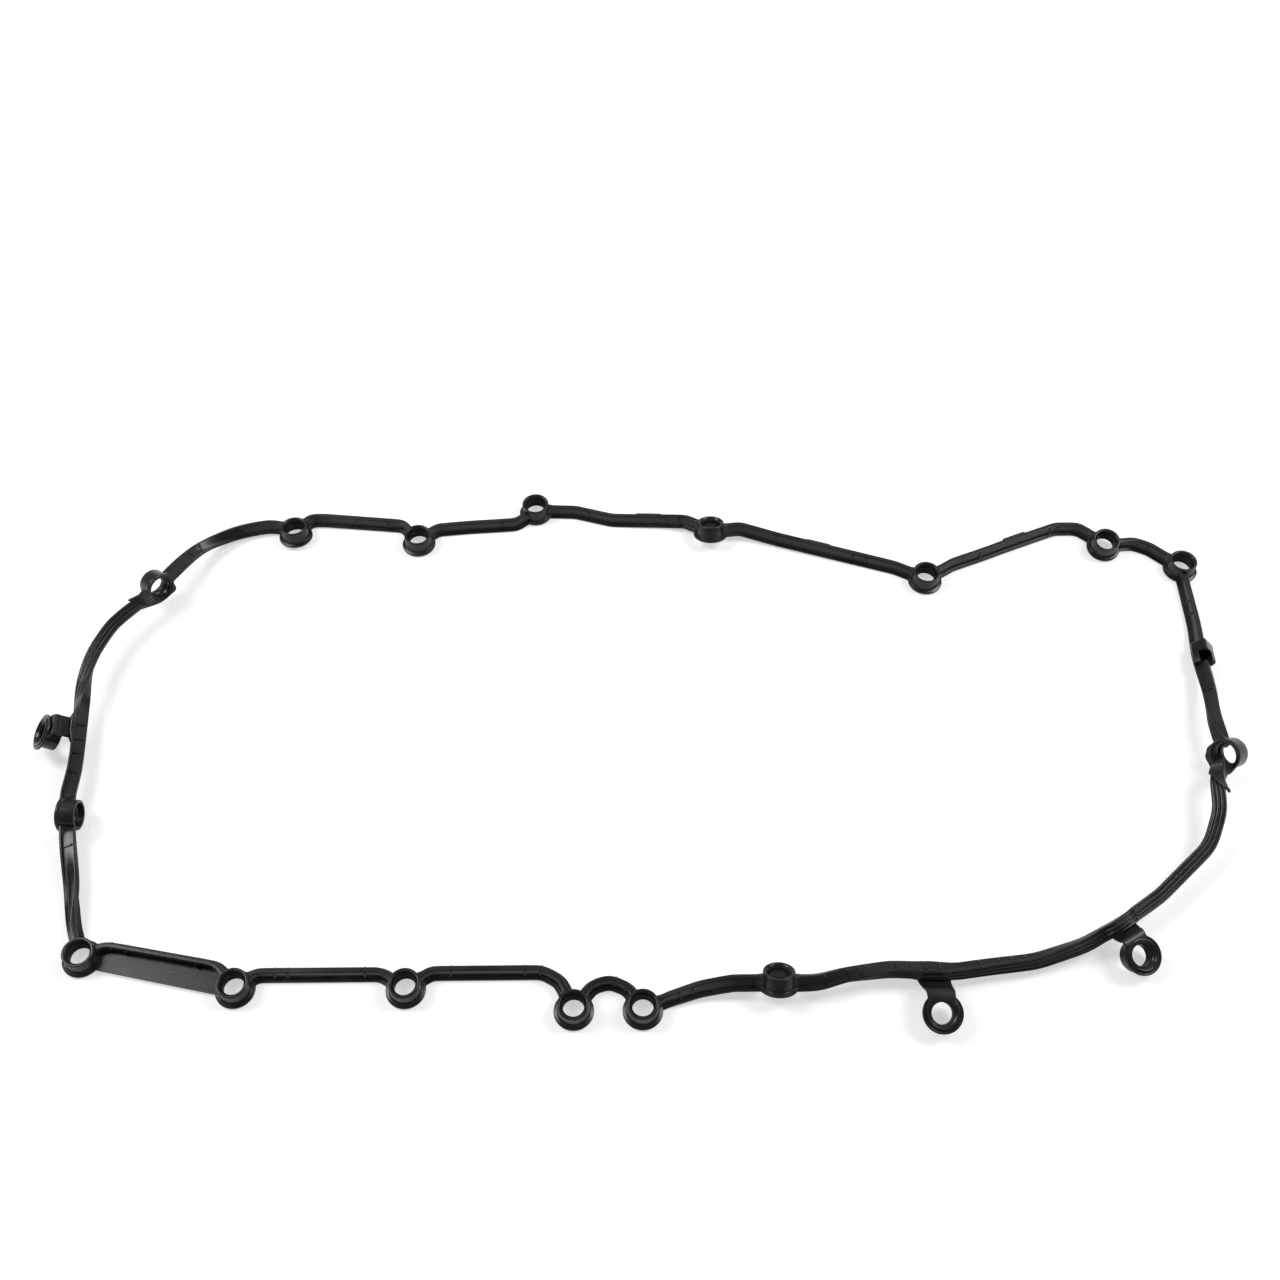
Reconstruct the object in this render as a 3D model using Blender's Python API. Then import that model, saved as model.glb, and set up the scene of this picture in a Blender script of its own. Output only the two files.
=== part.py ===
"""Moulded rubber oil pan gasket: one closed loop of ribbed strip with bolt collars, arms and corner plates.

+Z is up. The gasket lies as it rests when it is put down unbolted. The side rails stand on their sealing face,
and the two ends roll over, because they are moulded for end faces that stand across the rails.
The origin is on the surface that it lies on, under the middle of its bounding box.
All sizes here are in millimetres, and each finished mesh is scaled to metres.
"""

import bpy
import bmesh
from math import ceil, cos, pi, radians, sin, tan
from mathutils import Matrix, Vector

MILLIMETRE = 0.001

# Sealing strip, measured across its section from the sealing face up
BASE_WIDTH = 6.8
BASE_THICKNESS = 1.3
SEAL_RIB_PITCH = 1.9
SEAL_GROOVE_DEPTH = 0.6
BASE_EDGE_SETBACK = 0.2
BLADE_ROOT_WIDTH = 3.2
BLADE_TOP_WIDTH = 2.8
BLADE_ROOT_FILLET = 0.2
CROWN_CHAMFER = 0.6
STRIP_HEIGHT = 6.8

# Bolt collars
FLANGE_DIAMETER = 18.2
END_FLANGE_DIAMETER = 16.2
FLANGE_SETBACK = 0.7
FLANGE_TOP = 1.8
FLANGE_TOP_SLOPE = 0.3
TUBE_DIAMETER = 14.6
COLLAR_HEIGHT = 9.0
BORE_DIAMETER = 9.6
BORE_MOUTH_DIAMETER = 12.0
BORE_MOUTH_DEPTH = 1.3
SEAL_BEAD_DIAMETER = 14.0
SEAL_BEAD_OUTER_DIAMETER = 15.6
SEAL_BEAD_SETBACK = 0.08
BORE_FUNNEL_RISE = 3.0

# The strip stops in the wall of a collar that it runs into
STRIP_END_GAP = 6.5

# Sheet that the web, the arms and the corner plates are made of
SHEET_THICKNESS = 1.6
SHEET_SETBACK = 0.9
WEB_OUTSET = 4.5
PLATE_SETBACK = 0.25

# Crush pads on the outer wall of the far rail
PAD_LENGTH = 14.0
PAD_HEIGHT = 2.6
PAD_PROUD = 1.0
PAD_DROP = 1.0

# Hooded clip on the right end, between the corner bolt and the end bolt
CLIP_LENGTH = 13.0
CLIP_WIDTH = 9.0
CLIP_HEIGHT = 8.6
CLIP_SETBACK = 0.6
CLIP_WALL = 1.6
CLIP_POCKET_LENGTH = 8.0
CLIP_POCKET_HEIGHT = 4.5

# Mesh fineness
COLLAR_SIDES = 14
ARC_STEP = radians(36)
ARC_SHARE = 0.9
MITRE_ANGLE = radians(19)
TWIST_STEP = radians(22)

# The section is carried on the route at half its base width, so that rolling it over keeps it on the floor.
CARRY_HEIGHT = BASE_WIDTH / 2

# Bolts that the strip runs straight into: x, y and lift of the carried point, roll and heading in degrees.
# Roll is 0 with the blade up, and grows as the blade leans over the inside of the loop.
BOLTS = {
    "near_left_corner": (-254.2, -120.5, 3.4, 0, 0),
    "near_left": (-182.0, -135.2, 3.4, 0, 0),
    "near_middle": (-105.3, -135.3, 3.4, 0, 0),
    "near_notch_left": (-29.5, -145.3, 3.4, 0, 0),
    "near_notch_right": (1.3, -145.1, 3.4, 0, 0),
    "near_right": (62.0, -134.2, 7.8, 33, 0),
    "right_end": (288.0, -19.0, 14.0, 246, 118),
    "far_right_corner": (295.5, 107.0, 3.4, 0, 90),
    "far_right": (256.0, 121.5, 4.7, 8, 180),
    "far_notch": (155.0, 99.0, 3.4, 0, 180),
    "far_middle": (39.0, 130.0, 6.4, -21, 180),
    "far_outer": (-58.6, 147.9, 3.4, 0, 200),
    "far_left": (-122.6, 125.3, 3.4, 0, 180),
    "far_left_rail": (-191.4, 130.4, 4.05, -6, 180),
    "far_left_end": (-256.5, 85.5, 14.0, -100, 230),
    "left_end": (-274.6, -50.3, 9.3, 90, 268),
}

# Bolts with a narrow flange
END_BOLTS = ("right_end", "left_end")

# Strip from bolt to bolt, once round from the near left corner: its first bolt and the bends after it.
# A bend is x, y and lift, roll in degrees, and turn radius.
BAYS = {
    "near_left_corner": [(-243.5, -115.5, 3.4, 0, 9), (-192, -125, 3.4, 0, 8)],
    "near_left": [(-173, -128.5, 3.4, 0, 6), (-117, -128, 3.4, 0, 6)],
    "near_middle": [(-94.5, -127.5, 3.4, 0, 6), (-44, -127, 3.4, 0, 8), (-36, -131.5, 3.4, 0, 8)],
    "near_notch_left": [(-21.5, -134, 3.4, 0, 6), (-13.5, -131.5, 3.4, 0, 8), (-5.5, -135, 3.4, 0, 6)],
    "near_notch_right": [(12.5, -140, 3.7, 8, 12), (27, -135.5, 4.5, 20, 15), (41.5, -133.5, 6.0, 32, 15)],
    "near_right": [
        (79.5, -134.5, 8.0, 50, 15),
        (90, -131, 7.0, 65, 15),
        (112.5, -127.5, 7.0, 92, 20),
        (123, -128, 7.5, 100, 15),
        (131, -128, 8.1, 105, 15),
        (141.5, -129, 8.0, 108, 15),
        (154.5, -126.5, 7.0, 110, 20),
        (179, -123, 6.0, 118, 30),
        (202, -115.5, 7.0, 132, 30),
        (218.5, -106.5, 9.0, 148, 20),
        (239, -93.5, 9.0, 160, 20),
        (258, -77, 9.0, 170, 30),
        (268.5, -68.5, 9.0, 180, 30),
        (277.5, -50.5, 12.0, 195, 30),
        (279.5, -34.5, 14.0, 210, 15),
    ],
    "right_end": [
        (287.5, 5, 11.0, 285, 20),
        (290, 21.5, 9.0, 305, 20),
        (291.5, 46, 6.0, 335, 20),
        (294.5, 67, 4.0, 352, 20),
    ],
    "far_right_corner": [(281, 120.5, 3.4, 0, 12), (272.5, 124.5, 3.4, 0, 10)],
    "far_right": [
        (250, 129.5, 3.6, 4, 8),
        (244, 135, 3.5, 2, 8),
        (231, 135, 3.5, 2, 12),
        (200, 122, 3.4, 0, 40),
        (189, 117, 3.4, 0, 20),
        (170.3, 109.3, 3.4, 0, 6),
    ],
    "far_notch": [(139.5, 107.3, 3.4, 0, 6), (75.5, 127.2, 3.8, -10, 20), (55.5, 133.5, 5.0, -18, 6)],
    "far_middle": [
        (25.5, 138.8, 5.0, -15, 6),
        (13, 140.5, 3.6, -6, 15),
        (-15.5, 141.3, 3.4, 0, 15),
        (-36, 147.3, 3.4, 0, 10),
        (-44.7, 147.6, 3.4, 0, 8),
    ],
    "far_outer": [(-69, 138.2, 3.4, 0, 6), (-95, 136.2, 3.4, 0, 20), (-113, 134.2, 3.4, 0, 6)],
    "far_left": [(-131.5, 137, 3.4, 0, 6), (-176, 141, 3.6, -4, 20), (-184.4, 140.8, 3.7, -5, 6)],
    "far_left_rail": [
        (-202, 137.8, 3.8, -8, 6),
        (-225, 131, 4.5, -22, 20),
        (-242, 116, 8.0, -55, 20),
        (-252, 97, 12.0, -88, 20),
    ],
    "far_left_end": [
        (-266, 73.5, 14.0, -126, 12),
        (-276, 59.5, 14.0, -138, 20),
        (-281.5, 41, 13.0, -162, 30),
        (-282, 26, 12.0, -188, 30),
        (-281, 10, 10.0, -240, 20),
        (-279.6, -1, 9.4, -250, 20),
        (-276.5, -26.5, 9.3, -260, 20),
        (-277, -38, 9.3, -265, 10),
    ],
    "left_end": [(-271.8, -63, 8.0, 82, 15), (-264.3, -87, 5.4, 46, 30), (-260.7, -107, 3.9, 8, 20)],
}

# Collars on bent arms: the bay and bend at the arm's root, the arm's bends and its collar as (outwards, up)
# from the root, the collar's offset along the strip and its own roll, and the arm's widths at root and collar
ARM_COLLARS = {
    "near_arm": ("near_right", 4, [(5, -1.5), (9, 1), (14, 5)], (22, 3), 3.0, 158, (16, 11.5)),
    "right_arm": ("near_right", 9, [(4.5, 0.5), (7.5, 2.5), (10.5, 4.6)], (18.5, 2.2), -1.6, 155, (15, 11)),
    "left_arm": ("far_left_end", 5, [(3, 1.5), (7, 5.5), (10.6, 8.4)], (18, 4.7), 2.8, 131, (11.5, 11.5)),
}

# Corner plates near the sealing plane of a bolt: outline as (along, across) from the bolt
PLATES = {
    "far_left_end": [(-8, -8), (-7.5, 2), (8, 2.5), (16, 4), (18, 2), (17, -3), (8, -7), (3, -8.8)],
    "right_end": [(8, 3), (9, -5), (6.5, -9.6), (0, -11.4), (-13.6, -12), (-11.5, -8), (-8, 0)],
}

# Places of the pads and the clip: bay, the station before them and the share of the way to the next one
PADS = [("far_middle", 2, 0.62), ("far_notch", 1, 0.65), ("far_right", 3, 0.77)]
CLIP_PLACE = ("right_end", 2, 0.85)
CLIP_TURN = radians(18)


def finished(name, mesh):
    """Turns a bmesh into an object of triangles and quads that face out, in metres."""
    bmesh.ops.recalc_face_normals(mesh, faces=mesh.faces)
    bmesh.ops.triangulate(mesh, faces=[face for face in mesh.faces if len(face.verts) > 4])
    data = bpy.data.meshes.new(name)
    mesh.to_mesh(data)
    mesh.free()
    data.transform(Matrix.Scale(MILLIMETRE, 4))
    return bpy.data.objects.new(name, data)


def lofted(name, rings):
    """A closed solid through rings of points, with a flat cap at each end."""
    mesh = bmesh.new()
    loops = [[mesh.verts.new(point) for point in ring] for ring in rings]
    count = len(loops[0])
    for lower, upper in zip(loops, loops[1:]):
        for i in range(count):
            j = (i + 1) % count
            mesh.faces.new((lower[i], lower[j], upper[j], upper[i]))
    mesh.faces.new(loops[0])
    mesh.faces.new(reversed(loops[-1]))
    return finished(name, mesh)


def turned(name, profile, frame):
    """A solid of revolution about a frame's Z, from (radius, height) points that start and end on its axis."""
    mesh = bmesh.new()
    angles = [2 * pi * i / COLLAR_SIDES for i in range(COLLAR_SIDES)]
    start = mesh.verts.new(frame @ Vector((0, 0, profile[0][1])))
    end = mesh.verts.new(frame @ Vector((0, 0, profile[-1][1])))
    loops = [
        [mesh.verts.new(frame @ Vector((radius * cos(a), radius * sin(a), height))) for a in angles]
        for radius, height in profile[1:-1]
    ]
    for i in range(COLLAR_SIDES):
        j = (i + 1) % COLLAR_SIDES
        mesh.faces.new((start, loops[0][j], loops[0][i]))
        mesh.faces.new((end, loops[-1][i], loops[-1][j]))
        for lower, upper in zip(loops, loops[1:]):
            mesh.faces.new((lower[i], lower[j], upper[j], upper[i]))
    return finished(name, mesh)


def box(name, frame, low, high):
    """A block between two corners of a frame."""
    ring = [(low[1], low[2]), (high[1], low[2]), (high[1], high[2]), (low[1], high[2])]
    return lofted(name, [[frame @ Vector((x, y, z)) for y, z in ring] for x in (low[0], high[0])])


def strip_section():
    """The section's outline as (across, up) from the carried point, once round."""
    half_base = BASE_WIDTH / 2
    half_root = BLADE_ROOT_WIDTH / 2
    half_top = BLADE_TOP_WIDTH / 2
    inner_side = [
        (SEAL_RIB_PITCH / 2, 0),
        (SEAL_RIB_PITCH, SEAL_GROOVE_DEPTH),
        (half_base, BASE_EDGE_SETBACK),
        (half_base, BASE_THICKNESS),
        (half_root, BASE_THICKNESS + BLADE_ROOT_FILLET),
        (half_top, STRIP_HEIGHT - CROWN_CHAMFER),
        (half_top - CROWN_CHAMFER, STRIP_HEIGHT),
    ]
    outer_side = [(-across, up) for across, up in reversed(inner_side)]
    outline = [(0, SEAL_GROOVE_DEPTH)] + inner_side + outer_side
    return [(across, up - CARRY_HEIGHT) for across, up in outline]


def local_frame(position, tangent, roll):
    """Local X along the strip, Y across it towards the inside of the loop and Z up from the sealing face."""
    along = tangent.normalized()
    inward = Vector((-along.y, along.x, 0)).normalized()
    rise = along.cross(inward)
    across = inward * cos(roll) - rise * sin(roll)
    up = rise * cos(roll) + inward * sin(roll)
    turn = Matrix((along, across, up)).transposed()
    return Matrix.Translation(position) @ turn.to_4x4()


def bend_points(before, corner, after, radius):
    """The arc that rounds a corner of the route, and starts and ends short of two limits beside it."""
    into = (corner - before).normalized()
    out = (after - corner).normalized()
    angle = into.angle(out)
    if angle < MITRE_ANGLE:
        return [corner]
    room = min((corner - before).length, (after - corner).length)
    reach = min(radius * tan(angle / 2), room * ARC_SHARE)
    arc_radius = reach / tan(angle / 2)
    sideways = (out - into * cos(angle)).normalized()
    steps = ceil(angle / ARC_STEP)
    start = corner - into * reach
    return [
        start + into * arc_radius * sin(angle * i / steps) + sideways * arc_radius * (1 - cos(angle * i / steps))
        for i in range(steps + 1)
    ]


def bay_stations(first, last):
    """Points and rolls of a bay's two ends and its bends, with rolls that go on from one another."""
    rows = [BOLTS[first]] + BAYS[first] + [BOLTS[last]]
    points = [Vector(row[:3]) for row in rows]
    points[0] += (points[1] - points[0]).normalized() * STRIP_END_GAP
    points[-1] += (points[-2] - points[-1]).normalized() * STRIP_END_GAP
    rolls = [row[3] for row in rows]
    for i in range(1, len(rolls)):
        rolls[i] += 360 * round((rolls[i - 1] - rolls[i]) / 360)
    return points, [radians(roll) for roll in rolls]


def bay_line(first, last):
    """The rounded route of a bay as (point, roll), and where each of its stations is in that list."""
    stations, rolls = bay_stations(first, last)
    bends = stations[1:-1]
    limits = stations[:1] + [a.lerp(b, 0.5) for a, b in zip(bends, bends[1:])] + stations[-1:]
    corners = zip(limits, bends, limits[1:], BAYS[first])
    arcs = [stations[:1]]
    arcs += [bend_points(before, corner, after, bend[4]) for before, corner, after, bend in corners]
    arcs += [stations[-1:]]
    line = []
    places = []
    for span, arc in enumerate(arcs):
        middle = len(arc) // 2
        places.append(len(line) + middle)
        line += [[point, rolls[span]] for point in arc]

    for start, end in zip(places, places[1:]):
        run = [0.0]
        for i in range(start, end):
            run.append(run[-1] + (line[i + 1][0] - line[i][0]).length)
        first_roll, last_roll = line[start][1], line[end][1]
        for i in range(start + 1, end):
            line[i][1] = first_roll + (last_roll - first_roll) * run[i - start] / run[-1]
    return line, places


def bay_frames(first, last):
    """Frames along a bay, and the frame at each of its stations."""
    line, places = bay_line(first, last)
    directions = [(b[0] - a[0]).normalized() for a, b in zip(line, line[1:])]
    tangents = [a + b for a, b in zip(directions[:1] + directions, directions + directions[-1:])]
    station_frames = [local_frame(line[i][0], tangents[i], line[i][1]) for i in places]
    frames = []
    for i, (point, roll) in enumerate(line):
        if i:
            before, before_roll = line[i - 1]
            cuts = ceil(abs(roll - before_roll) / TWIST_STEP)
            for cut in range(1, cuts):
                share = cut / cuts
                twist = before_roll + (roll - before_roll) * share
                frames.append(local_frame(before.lerp(point, share), directions[i - 1], twist))
        frames.append(local_frame(point, tangents[i], roll))
    return frames, station_frames


def collar_profile(flange_diameter):
    """Half section of a collar without its bore: funnel, seal bead, flange and tube."""
    return [
        (0, BORE_FUNNEL_RISE),
        (SEAL_BEAD_DIAMETER / 2, SEAL_BEAD_SETBACK),
        (SEAL_BEAD_OUTER_DIAMETER / 2, FLANGE_SETBACK),
        (flange_diameter / 2, FLANGE_SETBACK),
        (flange_diameter / 2, FLANGE_TOP),
        (TUBE_DIAMETER / 2, FLANGE_TOP + FLANGE_TOP_SLOPE),
        (TUBE_DIAMETER / 2, COLLAR_HEIGHT),
        (0, COLLAR_HEIGHT),
    ]


def bore_profile():
    """Half section of the tool that cuts a bore with a wide mouth at its far end."""
    widening = (BORE_MOUTH_DIAMETER - BORE_DIAMETER) / 2 / BORE_MOUTH_DEPTH
    return [
        (0, -COLLAR_HEIGHT),
        (BORE_DIAMETER / 2, -COLLAR_HEIGHT),
        (BORE_DIAMETER / 2, COLLAR_HEIGHT - BORE_MOUTH_DEPTH),
        (BORE_MOUTH_DIAMETER / 2 + widening, COLLAR_HEIGHT + 1),
        (0, COLLAR_HEIGHT + 1),
    ]


def bolt_frame(name):
    """The carried frame of a bolt that the strip runs into."""
    x, y, lift, roll, heading = BOLTS[name]
    direction = Vector((cos(radians(heading)), sin(radians(heading)), 0))
    return local_frame(Vector((x, y, lift)), direction, radians(roll))


def add_collar(name, frame, flange_diameter=FLANGE_DIAMETER):
    """A collar whose sealing plane is the frame's, and the tool for its bore."""
    seat = frame @ Matrix.Translation((0, 0, -CARRY_HEIGHT))
    pieces.append(turned(name + "_collar", collar_profile(flange_diameter), seat))
    tools.append(turned(name + "_bore", bore_profile(), seat))


def add_arm(name, root, bends, collar, along, roll, widths):
    """A bent sheet from the strip's sealing face out to a collar with its own roll."""
    forward = Vector((root.col[0].x, root.col[0].y, 0)).normalized()
    outward = Vector((forward.y, -forward.x, 0))
    line = [(0, 0)] + bends
    seat = local_frame(root @ Vector((0, 0, 0)), forward, radians(roll))
    seat.translation += forward * along + outward * collar[0] + Vector((0, 0, collar[1]))
    add_collar(name, seat @ Matrix.Translation((0, 0, CARRY_HEIGHT)))
    end = seat @ Vector((0, TUBE_DIAMETER / 4, SHEET_SETBACK + SHEET_THICKNESS / 2)) - root.translation
    line.append((outward.dot(end), end.z))

    rings = []
    for i, (out, up) in enumerate(line):
        share = i / (len(line) - 1)
        half_width = (widths[0] * (1 - share) + widths[1] * share) / 2
        before, after = line[max(i - 1, 0)], line[min(i + 1, len(line) - 1)]
        slope = Vector((after[0] - before[0], after[1] - before[1])).normalized() * SHEET_THICKNESS / 2
        middle = root.translation + forward * along * share
        rings.append(
            [
                middle + forward * side * half_width + outward * (out - face * slope.y) + RISE * (up + face * slope.x)
                for side, face in ((-1, -1), (1, -1), (1, 1), (-1, 1))
            ]
        )
    pieces.append(lofted(name + "_arm", rings))


def add_plate(name, frame, outline):
    """A flat plate close to the sealing plane of a bolt."""
    heights = (PLATE_SETBACK - CARRY_HEIGHT, PLATE_SETBACK + SHEET_THICKNESS - CARRY_HEIGHT)
    rings = [[frame @ Vector((along, across, height)) for along, across in outline] for height in heights]
    pieces.append(lofted(name + "_plate", rings))


def add_web(name, frames):
    """The flat web on the outer side of a bay, from under its blade to a straight edge past its two bolts."""
    inner = [Vector((frame.translation.x, frame.translation.y, 0)) for frame in frames]
    line = (inner[-1] - inner[0]).normalized()
    outset = Vector((line.y, -line.x, 0)) * (WEB_OUTSET + STRIP_END_GAP / 2)
    outline = inner + [inner[-1] + outset, inner[0] + outset]
    heights = (SHEET_SETBACK, SHEET_SETBACK + SHEET_THICKNESS)
    rings = [[point + RISE * height for point in outline] for height in heights]
    pieces.append(lofted(name + "_web", rings))


def add_pad(name, frame):
    """A raised pad on the outer wall of the blade, under its crown."""
    top = STRIP_HEIGHT - CARRY_HEIGHT - PAD_DROP
    wall = -BLADE_ROOT_WIDTH / 2
    low = (-PAD_LENGTH / 2, wall - PAD_PROUD, top - PAD_HEIGHT)
    high = (PAD_LENGTH / 2, 0, top)
    pieces.append(box(name, frame, low, high))


def add_clip(frame):
    """A hood over the strip with a square pocket that opens along it."""
    bottom = CLIP_SETBACK - CARRY_HEIGHT
    low = (-CLIP_LENGTH / 2, -CLIP_WIDTH / 2, bottom)
    high = (CLIP_LENGTH / 2, CLIP_WIDTH / 2, bottom + CLIP_HEIGHT)
    pieces.append(box("clip_hood", frame, low, high))
    pocket_low = (low[0] - CLIP_WALL, low[1] + CLIP_WALL, high[2] - CLIP_WALL - CLIP_POCKET_HEIGHT)
    pocket_high = (low[0] + CLIP_POCKET_LENGTH, high[1] - CLIP_WALL, high[2] - CLIP_WALL)
    tools.append(box("clip_pocket", frame, pocket_low, pocket_high))


def partway(place):
    """A frame between two stations of a bay."""
    bay, station, share = place
    before, after = stations_of[bay][station : station + 2]
    middle = before.translation.lerp(after.translation, share)
    turn = before.to_quaternion().slerp(after.to_quaternion(), share)
    return Matrix.Translation(middle) @ turn.to_matrix().to_4x4()


def rubber():
    """Satin black synthetic rubber."""
    material = bpy.data.materials.new("black_rubber")
    material.use_nodes = True
    shader = material.node_tree.nodes["Principled BSDF"]
    shader.inputs["Base Color"].default_value = (0.018, 0.017, 0.018, 1)
    shader.inputs["Roughness"].default_value = 0.55
    shader.inputs["Metallic"].default_value = 0.0
    return material


def guides(name, objects):
    """Puts construction solids in a collection of their own, drawn as wire and left out of renders."""
    group = bpy.data.collections.new(name)
    bpy.context.scene.collection.children.link(group)
    for item in objects:
        group.objects.link(item)
        item.hide_render = True
        item.display_type = "WIRE"
    return group


def boolean(target, operation, group):
    """Joins or cuts the target with every solid of a collection."""
    step = target.modifiers.new(operation.lower(), "BOOLEAN")
    step.operation = operation
    step.operand_type = "COLLECTION"
    step.collection = group
    step.solver = "EXACT"


RISE = Vector((0, 0, 1))

for old in list(bpy.data.objects):
    bpy.data.objects.remove(old)

pieces = []
tools = []
strips = []
stations_of = {}
section = strip_section()
bolt_names = list(BAYS)
for bay, next_bay in zip(bolt_names, bolt_names[1:] + bolt_names[:1]):
    frames, stations = bay_frames(bay, next_bay)
    stations_of[bay] = stations
    rings = [[frame @ Vector((0, across, up)) for across, up in section] for frame in frames]
    strips.append(lofted(bay + "_strip", rings))
    add_collar(bay, bolt_frame(bay), END_FLANGE_DIAMETER if bay in END_BOLTS else FLANGE_DIAMETER)
    if bay in PLATES:
        add_plate(bay, bolt_frame(bay), PLATES[bay])
    if bay == "near_left_corner":
        add_web(bay, frames)

for name, (bay, bend, *shape) in ARM_COLLARS.items():
    add_arm(name, stations_of[bay][bend + 1], *shape)
for number, place in enumerate(PADS):
    add_pad(f"crush_pad_{number + 1}", partway(place))
add_clip(partway(CLIP_PLACE) @ Matrix.Rotation(CLIP_TURN, 4, "X"))

corners = [vertex.co for item in strips + pieces for vertex in item.data.vertices]
middle_x = (min(corner.x for corner in corners) + max(corner.x for corner in corners)) / 2
middle_y = (min(corner.y for corner in corners) + max(corner.y for corner in corners)) / 2
for item in strips + pieces + tools:
    item.data.transform(Matrix.Translation((-middle_x, -middle_y, 0)))

gasket = strips[0]
gasket.name = "oil_pan_gasket"
bpy.context.scene.collection.objects.link(gasket)
gasket.data.materials.append(rubber())
boolean(gasket, "UNION", guides("rubber", strips[1:] + pieces))
boolean(gasket, "DIFFERENCE", guides("tools", tools))
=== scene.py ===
"""Oil pan gasket: the moulded rubber part in full detail, on a pale floor in soft studio light.

The layout tables are in millimetres in the layout's own frame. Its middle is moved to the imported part's
origin when a piece is made.
"""

from math import ceil, cos, exp, pi, radians, sin, tan

import bmesh
import bpy
import numpy as np
from bpy.props import FloatProperty, FloatVectorProperty, PointerProperty
from mathutils import Matrix, Vector


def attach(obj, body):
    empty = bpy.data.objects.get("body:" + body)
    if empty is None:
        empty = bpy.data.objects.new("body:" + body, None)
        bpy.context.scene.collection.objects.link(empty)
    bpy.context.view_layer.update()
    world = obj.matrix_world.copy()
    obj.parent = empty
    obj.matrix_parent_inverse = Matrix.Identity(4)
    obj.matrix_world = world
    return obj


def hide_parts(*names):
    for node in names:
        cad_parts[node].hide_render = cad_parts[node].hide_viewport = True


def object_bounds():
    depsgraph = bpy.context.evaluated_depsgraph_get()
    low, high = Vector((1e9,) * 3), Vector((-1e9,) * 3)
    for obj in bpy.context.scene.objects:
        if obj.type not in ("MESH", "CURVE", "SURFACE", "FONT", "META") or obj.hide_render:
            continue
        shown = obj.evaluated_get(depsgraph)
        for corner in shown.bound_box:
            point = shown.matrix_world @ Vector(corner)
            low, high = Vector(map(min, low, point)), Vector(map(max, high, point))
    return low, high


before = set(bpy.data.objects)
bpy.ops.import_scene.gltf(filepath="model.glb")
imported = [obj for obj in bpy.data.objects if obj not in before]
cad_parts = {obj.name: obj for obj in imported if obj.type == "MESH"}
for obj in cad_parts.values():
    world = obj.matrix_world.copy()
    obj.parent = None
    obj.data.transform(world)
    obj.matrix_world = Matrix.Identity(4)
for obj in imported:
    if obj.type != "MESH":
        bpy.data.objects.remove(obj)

bl_info = {
    "name": "Oil pan gasket",
    "version": (1, 0, 0),
    "blender": (4, 5, 0),
    "location": "View3D > Sidebar > Gasket",
    "description": "Builds a ribbed rubber oil pan gasket with bolt collars, and a plain studio around it",
    "category": "Object",
}

PART_LOW, PART_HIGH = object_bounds()
NODE = "oil_pan_gasket"
MILLIMETRE = 0.001
LAYOUT_MIDDLE = Vector((0.8768, -0.6196, 0))
RISE = Vector((0, 0, 1))
# The visual model stays this far, in metres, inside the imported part's box
BOX_MARGIN = 2e-6

# Bolts that the strip runs straight into: x, y and lift of the carried point, roll and heading in degrees.
# Roll is 0 with the blade up, and grows as the blade leans over the inside of the loop.
BOLTS = {
    "near_left_corner": (-254.2, -120.5, 3.4, 0, 0),
    "near_left": (-182.0, -135.2, 3.4, 0, 0),
    "near_middle": (-105.3, -135.3, 3.4, 0, 0),
    "near_notch_left": (-29.5, -145.3, 3.4, 0, 0),
    "near_notch_right": (1.3, -145.1, 3.4, 0, 0),
    "near_right": (62.0, -134.2, 7.8, 33, 0),
    "right_end": (288.0, -19.0, 14.0, 246, 118),
    "far_right_corner": (295.5, 107.0, 3.4, 0, 90),
    "far_right": (256.0, 121.5, 4.7, 8, 180),
    "far_notch": (155.0, 99.0, 3.4, 0, 180),
    "far_middle": (39.0, 130.0, 6.4, -21, 180),
    "far_outer": (-58.6, 147.9, 3.4, 0, 200),
    "far_left": (-122.6, 125.3, 3.4, 0, 180),
    "far_left_rail": (-191.4, 130.4, 4.05, -6, 180),
    "far_left_end": (-256.5, 85.5, 14.0, -100, 230),
    "left_end": (-274.6, -50.3, 9.3, 90, 268),
}
END_BOLTS = ("right_end", "left_end", "far_left_end")

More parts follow.
